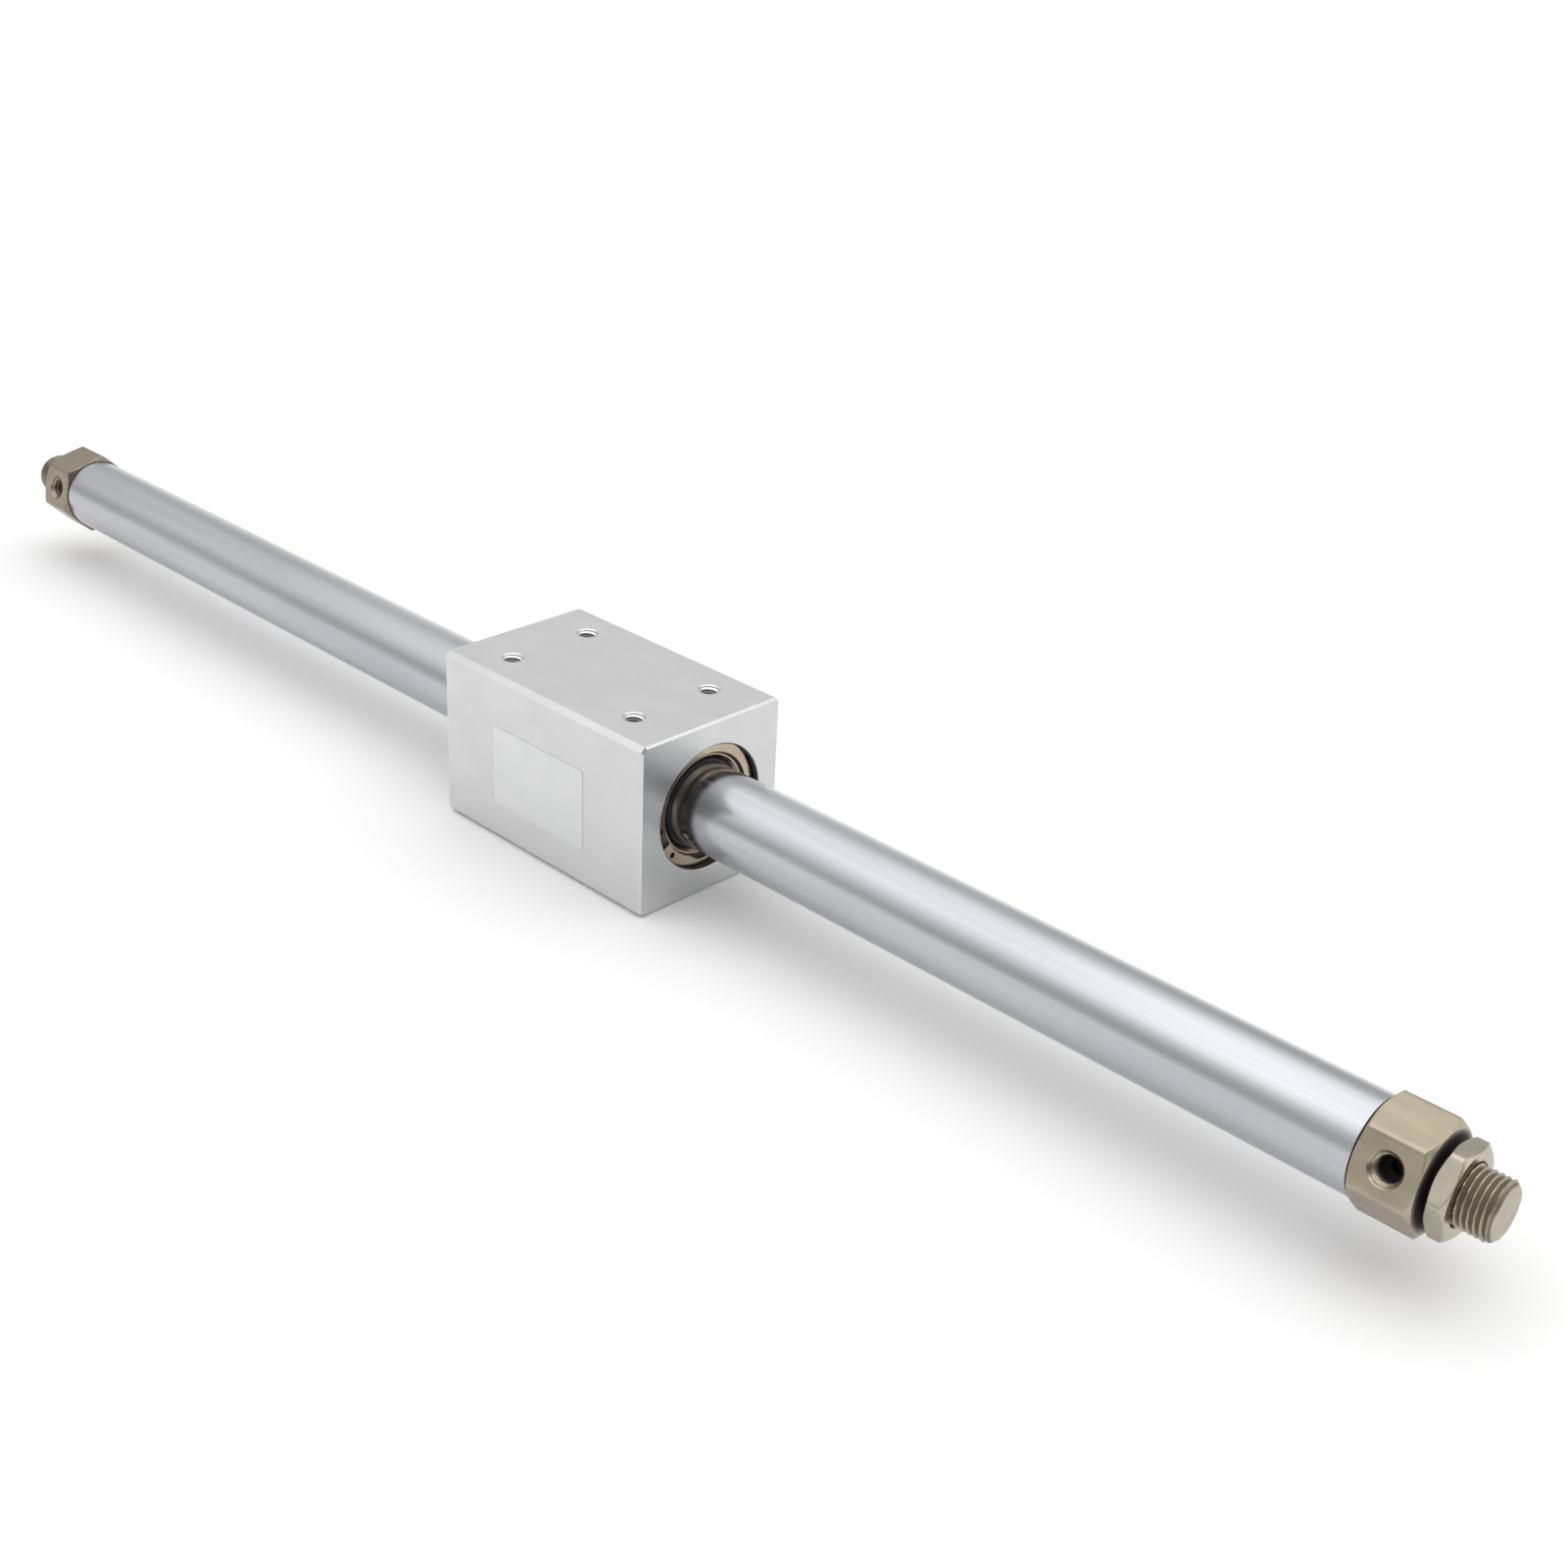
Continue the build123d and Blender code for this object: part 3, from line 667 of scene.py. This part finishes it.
def snap_ring_surface(low, high):
    """Snap ring as one closed surface: its flat outline with two eyes, cut into triangles, between two
    planes."""
    turn = np.linspace(ring_gap_half, 2 * np.pi - ring_gap_half, ring_steps)
    inner = ring_inner_radius(np.minimum(turn, 2 * np.pi - turn))
    angles = np.concatenate([turn, turn[::-1]])
    radius = np.concatenate([np.full(turn.shape, ring_outer_radius), inner[::-1]])
    loops = [np.stack([radius * np.cos(angles + ring_gap), radius * np.sin(angles + ring_gap)], axis=-1)]
    round_eye = np.linspace(0, 2 * np.pi, eye_steps, endpoint=False)
    for side in (ring_gap - eye_turn, ring_gap + eye_turn):
        middle = (ring_bore_radius - lug_reach / 2) * np.array([cos(side), sin(side)])
        loops.append(middle + eye_radius * np.stack([np.cos(round_eye), np.sin(round_eye)], axis=-1))
    starts = np.cumsum([0] + [len(loop) for loop in loops])
    edges = np.concatenate([
        start + np.stack([np.arange(len(loop)), np.roll(np.arange(len(loop)), -1)], axis=-1)
        for start, loop in zip(starts, loops)
    ])
    flat = np.concatenate(loops)
    cut = delaunay_2d_cdt([Vector(point) for point in (flat / mm).tolist()], edges.tolist(), [], 1, 1e-6)
    plane = np.array([list(point) for point in cut[0]]) * mm
    plate = np.array([list(triangle) for triangle in cut[2]])
    centres = plane[plate].mean(axis=1)
    for eye in loops[1:]:
        plate = plate[np.hypot(*(centres - eye.mean(axis=0)).T) > eye_radius]
        centres = plane[plate].mean(axis=1)
    count = len(plane)
    points = np.concatenate([np.column_stack([np.full(count, x), plane]) for x in (low, high)])
    first, second = edges[:, 0], edges[:, 1]
    walls = np.concatenate([
        np.stack([first, second, second + count], axis=-1),
        np.stack([first, second + count, first + count], axis=-1),
    ])
    return points, np.concatenate([plate, plate[:, ::-1] + count, walls])


def ring_painted_shade(place):
    """Share of painted shade on the snap ring: it lies on the lug above the gap and thins out up the ring."""
    turn = np.mod(np.arctan2(place[:, 2], place[:, 1]), 2 * np.pi)
    above_gap = np.clip((ring_gap - turn) / lug_painted_shade_edge, 0, 1)
    below_top = np.clip((turn - lug_painted_shade_top) / lug_painted_shade_fade, 0, 1)
    return lug_painted_shade * above_gap * below_top


# Nickel on steel: warm and glossy, a little uneven
ring_nickel = finish_metal(
    "nickel_plated_ring_steel", ("#AEA28E", "#B9AD99"), (3 * mm, 3 * mm, 3 * mm),
    (0.25 * mm, 0.25 * mm, 0.25 * mm), roughness=(0.13, 0.22), depth=0.001 * mm,
)
# The spacer ring, its face darkened with painted shade outside its bright lip
spacer_nickel = finish_metal(
    "nickel_plated_spacer_painted_shade", ("#B6AB97", "#C2B6A2"), (3 * mm, 3 * mm, 3 * mm),
    (0.25 * mm, 0.25 * mm, 0.25 * mm), roughness=(0.16, 0.26), depth=0.001 * mm, dark_zone=spacer_shade,
)
dress(spacer_nickel, "near_spacer_ring", "far_spacer_ring")
for end in ("near", "far"):
    ring_low, ring_high = (corner.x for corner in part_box(end + "_snap_ring"))
    if end == "near":
        ring_high -= ring_set_back
    else:
        ring_low += ring_set_back
    snap_ring = make_piece(
        end + "_snap_ring_nickel", *snap_ring_surface(ring_low, ring_high), ring_nickel, "slider",
        "nickel_plated_spring_steel", painted_shade=ring_painted_shade,
    )
    edge_break = snap_ring.modifiers.new("edge_break", "BEVEL")
    edge_break.width = ring_edge_width
    edge_break.segments = ring_edge_steps
    edge_break.angle_limit = ring_edge_angle
    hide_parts(end + "_snap_ring")


# Scrapers, seals and gaskets: moulded black nitrile rubber, in the block's mouths, on the
# pistons and on the covers' spigots.
mottle_per_grain = 9


def soft_material(name, colours, roughness, grain_size, depth, settings):
    """Moulded or pressed material: broad noise mottles its colour, fine noise its roughness and a bump."""
    material, tree, output = new_material(name)
    place = add_node(tree, "ShaderNodeTexCoord", {})
    mottle = add_node(
        tree, "ShaderNodeTexNoise", {"Scale": 1 / (mottle_per_grain * grain_size), "Detail": 2.0},
        {"Vector": place.outputs["Object"]},
    )
    grain = add_node(
        tree, "ShaderNodeTexNoise", {"Scale": 1 / grain_size, "Detail": 4.0},
        {"Vector": place.outputs["Object"]},
    )
    colour = add_node(
        tree, "ShaderNodeMix", {"data_type": "RGBA", 6: linear(colours[0]), 7: linear(colours[1])},
        {0: mottle.outputs["Fac"]},
    )
    rough = add_node(
        tree, "ShaderNodeMapRange",
        {"From Min": noise_low, "From Max": noise_high, "To Min": roughness[0], "To Max": roughness[1]},
        {"Value": grain.outputs["Fac"]},
    )
    bump = add_node(tree, "ShaderNodeBump", {"Distance": depth}, {"Height": grain.outputs["Fac"]})
    shader = add_node(
        tree, "ShaderNodeBsdfPrincipled", settings,
        {
            "Base Color": colour.outputs[2], "Roughness": rough.outputs["Result"],
            "Normal": bump.outputs["Normal"],
        },
    )
    tree.links.new(shader.outputs["BSDF"], output.inputs["Surface"])
    return material


# Black and dull, faintly mottled
nitrile_rubber = soft_material(
    "moulded_nitrile_rubber", ("#141414", "#1E1D1C"), roughness=(0.42, 0.6), grain_size=0.3 * mm,
    depth=0.004 * mm, settings={"IOR": 1.52},
)
for end in ("near_", "far_"):
    dress(nitrile_rubber, end + "scraper", end + "piston_seal", end + "tube_gasket")


# Felt rings: pressed wool felt soaked in oil, one behind each scraper, where it keeps the tube
# oiled.
# Tan and rough, darkened by the oil
oiled_felt = soft_material(
    "oil_soaked_felt", ("#8C7C5C", "#A39270"), roughness=(0.7, 0.9), grain_size=0.25 * mm, depth=0.03 * mm,
    settings={"IOR": 1.47},
)
dress(oiled_felt, "near_felt_ring", "far_felt_ring")


# Wear rings and piston guide rings: turned from white acetal. The wear rings carry the block on
# the tube, and the guide rings carry the pistons inside it.
# Off-white and waxy: light goes a little way in
turned_acetal = soft_material(
    "turned_acetal", ("#E4E1D8", "#EEECE4"), roughness=(0.3, 0.42), grain_size=0.4 * mm, depth=0.002 * mm,
    settings={"IOR": 1.48, "Subsurface Weight": 0.1, "Subsurface Scale": 1.0 * mm},
)
for end in ("near_", "far_"):
    dress(turned_acetal, end + "wear_ring", end + "piston_guide_ring")


# Bumpers: discs cast from amber urethane, one on each end of the piston, to stop it softly
# against the head covers.
# Amber and glossy, half clear at the edges
cast_urethane = soft_material(
    "cast_urethane", ("#B98F45", "#C9A057"), roughness=(0.25, 0.38), grain_size=0.5 * mm, depth=0.002 * mm,
    settings={"IOR": 1.5, "Subsurface Weight": 0.2, "Subsurface Scale": 2.0 * mm},
)
dress(cast_urethane, "near_bumper", "far_bumper")


# Pistons: heads turned from aluminium and screwed on both ends of the shaft, each with grooves
# for its seal and its guide ring.
# Bright, with the fine rings that the tool leaves
turned_aluminium = finish_metal(
    "turned_aluminium", ("#CDCECF", "#DADBDC"), (3 * mm, 3 * mm, 3 * mm), (0.12 * mm, 2 * mm, 2 * mm),
    roughness=(0.25, 0.4), depth=0.002 * mm,
)
dress(turned_aluminium, "near_piston", "far_piston")


# Piston shaft: a ground stainless rod through the inner stack of magnets and yokes, held by
# the pistons on both its ends.
# Smooth grey with faint rings from the grinding wheel
ground_stainless = finish_metal(
    "ground_stainless_rod", ("#BFC0C2", "#CCCDCF"), (20 * mm, 2 * mm, 2 * mm), (0.1 * mm, 1 * mm, 1 * mm),
    roughness=(0.18, 0.28), depth=0.001 * mm,
)
dress(ground_stainless, "piston_shaft")


# Magnets and yokes: sintered ring magnets in bright nickel between plain rolled steel rings,
# one stack in the block and one on the shaft.
# Cool and bright, with the grain of the sintered magnet under the plating
magnet_nickel = finish_metal(
    "nickel_plated_magnet", ("#B9B9B7", "#C6C6C4"), (2 * mm, 2 * mm, 2 * mm), (0.2 * mm, 0.2 * mm, 0.2 * mm),
    roughness=(0.15, 0.25), depth=0.001 * mm,
)
# Dull grey, a little blotched
rolled_steel = finish_metal(
    "rolled_steel", ("#8E8F91", "#A2A3A5"), (3 * mm, 3 * mm, 3 * mm), (0.3 * mm, 0.3 * mm, 0.3 * mm),
    roughness=(0.32, 0.48), depth=0.002 * mm,
)
dress(magnet_nickel, *(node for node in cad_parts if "_magnet_" in node))
dress(rolled_steel, *(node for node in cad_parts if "_yoke_" in node))


# Floor: a wide matt pale sheet, on which the block lies. The metal reflects it, with the shade
# that the block and the tube throw on it.
floor_half = 9.0
floor_mesh = bpy.data.meshes.new("studio_floor")
floor_mesh.from_pydata(
    [(x * floor_half, y * floor_half, block_low.z) for x, y in ((-1, -1), (1, -1), (1, 1), (-1, 1))],
    [], [(0, 1, 2, 3)],
)
floor = bpy.data.objects.new("studio_floor", floor_mesh)
bpy.context.scene.collection.objects.link(floor)
# Matt and nearly even, so that nothing but shade shows on it
floor_material, floor_tree, floor_output = new_material("matt_white_sheet")
floor_place = add_node(floor_tree, "ShaderNodeTexCoord", {})
floor_grain = add_node(
    floor_tree, "ShaderNodeTexNoise", {"Scale": 8.0, "Detail": 2.0}, {"Vector": floor_place.outputs["Object"]}
)
floor_colour = add_node(
    floor_tree, "ShaderNodeMix", {"data_type": "RGBA", 6: linear("#F1F1F1"), 7: linear("#F4F4F4")},
    {0: floor_grain.outputs["Fac"]},
)
floor_shader = add_node(
    floor_tree, "ShaderNodeBsdfPrincipled", {"Roughness": 0.9, "Specular IOR Level": 0.0},
    {"Base Color": floor_colour.outputs[2]},
)
floor_tree.links.new(floor_shader.outputs["BSDF"], floor_output.inputs["Surface"])
floor_mesh.materials.append(floor_material)


# Studio light: a pale room, dim at the horizon and bright overhead, soft lights in front on the
# left and behind, and a dark side where the camera stands. A sky stop is an elevation in degrees
# and a level; a soft light is a direction, the cosine at its edge and a level.
sky_stops = (
    (-90, 0.55), (-20, 0.75), (-2, 0.90), (3, 0.84), (9, 0.62), (14, 0.60), (20, 0.64), (28, 0.72),
    (36, 0.88), (42, 1.10), (48, 1.34), (55, 1.55), (62, 1.75), (70, 1.78), (90, 1.60),
)
sky_scale = 2.0
soft_lights = (
    ((-0.604, -0.507, 0.616), 0.90, 0.38),
    ((-0.700, 0.700, 0.139), 0.92, 0.24),
    ((0.707, 0.707, 0.035), 0.92, 0.95),
    ((0.422, 0.626, 0.656), 0.95, 0.60),
)
dark_direction = (0.875, -0.408, 0.259)
dark_edge, dark_core = 0.72, 0.93
dark_full_share = 0.85
dark_level = 0.16
world = bpy.data.worlds.new("studio_room")
bpy.context.scene.world = world
world.use_nodes = True
room = world.node_tree
room.nodes.clear()
room_place = add_node(room, "ShaderNodeTexCoord", {})
room_split = add_node(room, "ShaderNodeSeparateXYZ", {}, {"Vector": room_place.outputs["Generated"]})
room_height = add_node(
    room, "ShaderNodeMapRange", {"From Min": -1.0, "From Max": 1.0}, {"Value": room_split.outputs["Z"]}
)
room_ramp = add_node(room, "ShaderNodeValToRGB", {}, {"Fac": room_height.outputs["Result"]})
for elevation, _ in sky_stops[1:-1]:
    room_ramp.color_ramp.elements.new((sin(radians(elevation)) + 1) / 2)
for stop, (elevation, level) in zip(room_ramp.color_ramp.elements, sky_stops):
    stop.color = (level / sky_scale, level / sky_scale, level / sky_scale, 1.0)
room_light = add_node(
    room, "ShaderNodeBackground", {"Strength": sky_scale}, {"Color": room_ramp.outputs["Color"]}
)
for direction, edge, level in soft_lights:
    toward = add_node(
        room, "ShaderNodeVectorMath", {"operation": "DOT_PRODUCT", 1: direction},
        {0: room_place.outputs["Generated"]},
    )
    lobe = add_node(
        room, "ShaderNodeMapRange", {"From Min": edge, "From Max": 1.0, "To Max": level},
        {"Value": toward.outputs["Value"]},
    )
    glow = add_node(
        room, "ShaderNodeBackground", {"Color": (1.0, 1.0, 1.0, 1.0)}, {"Strength": lobe.outputs["Result"]}
    )
    room_light = add_node(
        room, "ShaderNodeAddShader", {}, {0: room_light.outputs[0], 1: glow.outputs["Background"]}
    )
dark_toward = add_node(
    room, "ShaderNodeVectorMath", {"operation": "DOT_PRODUCT", 1: dark_direction},
    {0: room_place.outputs["Generated"]},
)
dark_share = add_node(
    room, "ShaderNodeMapRange", {"From Min": dark_edge, "From Max": dark_core, "To Max": dark_full_share},
    {"Value": dark_toward.outputs["Value"]},
)
dark_room = add_node(
    room, "ShaderNodeBackground", {"Color": (dark_level, dark_level, dark_level, 1.0), "Strength": 1.0}
)
room_light = add_node(
    room, "ShaderNodeMixShader", {},
    {0: dark_share.outputs["Result"], 1: room_light.outputs[0], 2: dark_room.outputs["Background"]},
)
add_node(room, "ShaderNodeOutputWorld", {}, {"Surface": room_light.outputs[0]})


# Camera: in front of the near end and above it, a little rolled, as the photograph was taken.
# Its place, aim, roll and lens were solved from the outlines of the tube and the block in it.
camera_place = Vector((0.28571, -0.24306, 0.18151))
camera_target = Vector((0.0431, 0.01727, 0.0))
camera_roll = radians(3.009)
camera_lens = 47.94
camera_data = bpy.data.cameras.new("studio_camera")
camera_data.lens = camera_lens
camera_data.clip_start = 0.01
camera = bpy.data.objects.new("studio_camera", camera_data)
aim = (camera_target - camera_place).to_track_quat("-Z", "Y").to_matrix()
camera.matrix_world = Matrix.Translation(camera_place) @ (aim @ Matrix.Rotation(camera_roll, 3, "Z")).to_4x4()
bpy.context.scene.collection.objects.link(camera)
bpy.context.scene.camera = camera
bpy.context.scene.view_settings.view_transform = "Standard"
